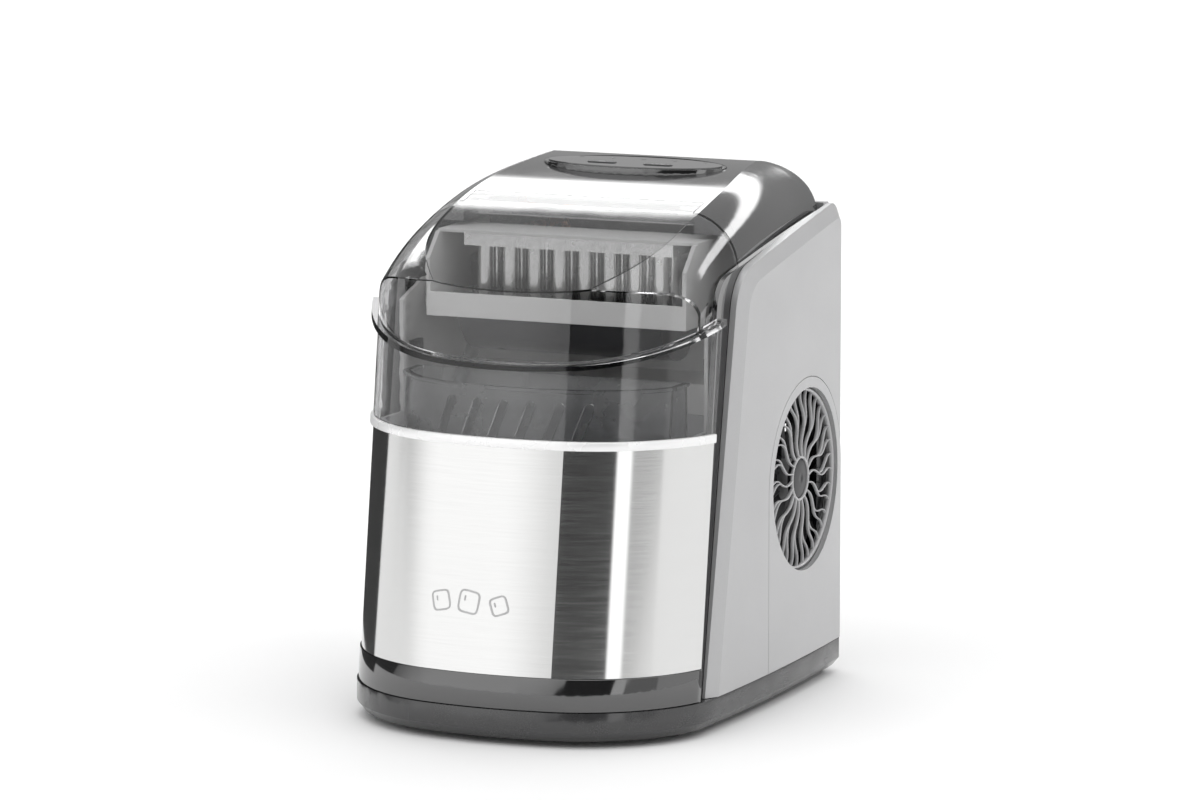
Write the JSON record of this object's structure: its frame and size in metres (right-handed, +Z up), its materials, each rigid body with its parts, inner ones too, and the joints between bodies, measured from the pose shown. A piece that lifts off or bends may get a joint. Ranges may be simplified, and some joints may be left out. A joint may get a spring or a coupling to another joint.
{
  "type": "countertop ice maker",
  "caption": "Free-standing countertop ice maker with a smoked tilting lid, bowed steel front, lift-out ice basket, tilting water tray and side fan grille.",
  "frame": {"origin": "on the floor under the middle of the body's bounding box", "axes": "+X to the machine's right as seen from the front, +Y to the back, +Z up; the front faces -Y"},
  "size_m": [0.228, 0.284, 0.3101],
  "materials": {
    "base_dark": "satin dark grey",
    "gloss_black": "gloss",
    "steel": "horizontal brushing",
    "trim_silver": "bright satin",
    "smoked": "smoked clear plastic",
    "cover_grey": "gloss grey",
    "panel_silver": "silver grey, fine satin",
    "grille_grey": "satin",
    "black_plastic": "matte",
    "white_plastic": "satin",
    "tray_dark": "satin",
    "clear_basket": "frosted",
    "key_grey": "satin",
    "lens": "clear",
    "rubber": "matte",
    "hose": "silicone",
    "screw": "zinc plated",
    "copper": "drawn copper",
    "nickel": "plated",
    "fins": "mill finish",
    "motor_metal": "zinc",
    "compressor_black": "black enamel",
    "foam": "expanded foam",
    "board_green": "lacquered board"
  },
  "bodies": {
    "housing": {"base_pan": "base_dark", "rubber_feet": "rubber", "base_screws": "screw", "front_kick_band": "gloss_black", "front_panel": "steel", "front_carrier": "gloss_black", "trim_band": "trim_silver", "front_window": "smoked", "hinge_pins": "screw", "top_cover": "cover_grey", "control_bezel": "gloss_black", "control_face": "cover_grey", "indicator_lenses": "lens", "control_board": "board_green", "side_frame_right": "gloss_black", "side_frame_left": "gloss_black", "side_panel_right": "panel_silver", "side_panel_left": "panel_silver", "vent_insert": "panel_silver", "fan_grille": "grille_grey", "rear_cover": "base_dark", "rear_cap": "panel_silver", "rear_screws": "screw", "cord_gland": "black_plastic", "drain_spout": "black_plastic", "water_tank": "black_plastic", "tank_foam": "foam", "compartment_liner": "white_plastic", "ice_full_sensors": "black_plastic", "evaporator": "nickel", "evaporator_bracket": "white_plastic", "tray_motor": "motor_metal", "bracket_screws": "screw", "water_pump": "black_plastic", "water_hose": "hose", "compressor": "compressor_black", "compressor_grommets": "rubber", "condenser": "fins", "fan_shroud": "black_plastic", "fan_motor": "motor_metal", "refrigerant_tubes": "copper", "filter_drier": "copper", "hot_gas_valve": "motor_metal", "power_board": "board_green"},
    "lid": {"lid_shell": "smoked"},
    "tray": {"water_tray": "tray_dark"},
    "pusher": {"ice_pusher": "white_plastic"},
    "basket": {"ice_basket": "clear_basket"},
    "fan": {"fan_rotor": "black_plastic"},
    "pump_rotor": {"pump_impeller": "white_plastic"},
    "power_key": {"power_button": "key_grey"},
    "select_key": {"select_button": "key_grey"},
    "drain_bung": {"drain_plug": "rubber"}
  },
  "joints": [
    {"name": "lid_hinge", "type": "hinge", "parent": "housing", "child": "lid", "pos_m": [0, 0.0055, 0.2912], "axis": [-1, 0, 0], "range_deg": [0, 78]},
    {"name": "tray_tilt", "type": "hinge", "parent": "housing", "child": "tray", "pos_m": [0, -0.004, 0.236], "axis": [-1, 0, 0], "range_deg": [0, 60]},
    {"name": "pusher_swing", "type": "hinge", "parent": "housing", "child": "pusher", "pos_m": [0, 0.034, 0.262], "axis": [-1, 0, 0], "range_deg": [0, 48.5]},
    {"name": "basket_lift", "type": "slide", "parent": "housing", "child": "basket", "axis": [0, 0, 1], "range_m": [0, 0.035]},
    {"name": "fan_spin", "type": "hinge", "parent": "housing", "child": "fan", "pos_m": [0.094, 0.0725, 0.1275], "axis": [1, 0, 0], "continuous": true},
    {"name": "pump_spin", "type": "hinge", "parent": "housing", "child": "pump_rotor", "pos_m": [-0.076, -0.006, 0.04], "axis": [0, 0, 1], "continuous": true},
    {"name": "power_press", "type": "slide", "parent": "housing", "child": "power_key", "axis": [0, 0, -1], "range_m": [0, 0.001], "stiffness_N_per_m": 600},
    {"name": "select_press", "type": "slide", "parent": "housing", "child": "select_key", "axis": [0, 0, -1], "range_m": [0, 0.001], "stiffness_N_per_m": 600},
    {"name": "drain_pull", "type": "slide", "parent": "housing", "child": "drain_bung", "axis": [0, 1, 0], "range_m": [0, 0.03]}
  ],
  "couplings": [
    {"joint": "pusher_swing", "follows": "tray_tilt", "ratio": 0.8}
  ]
}
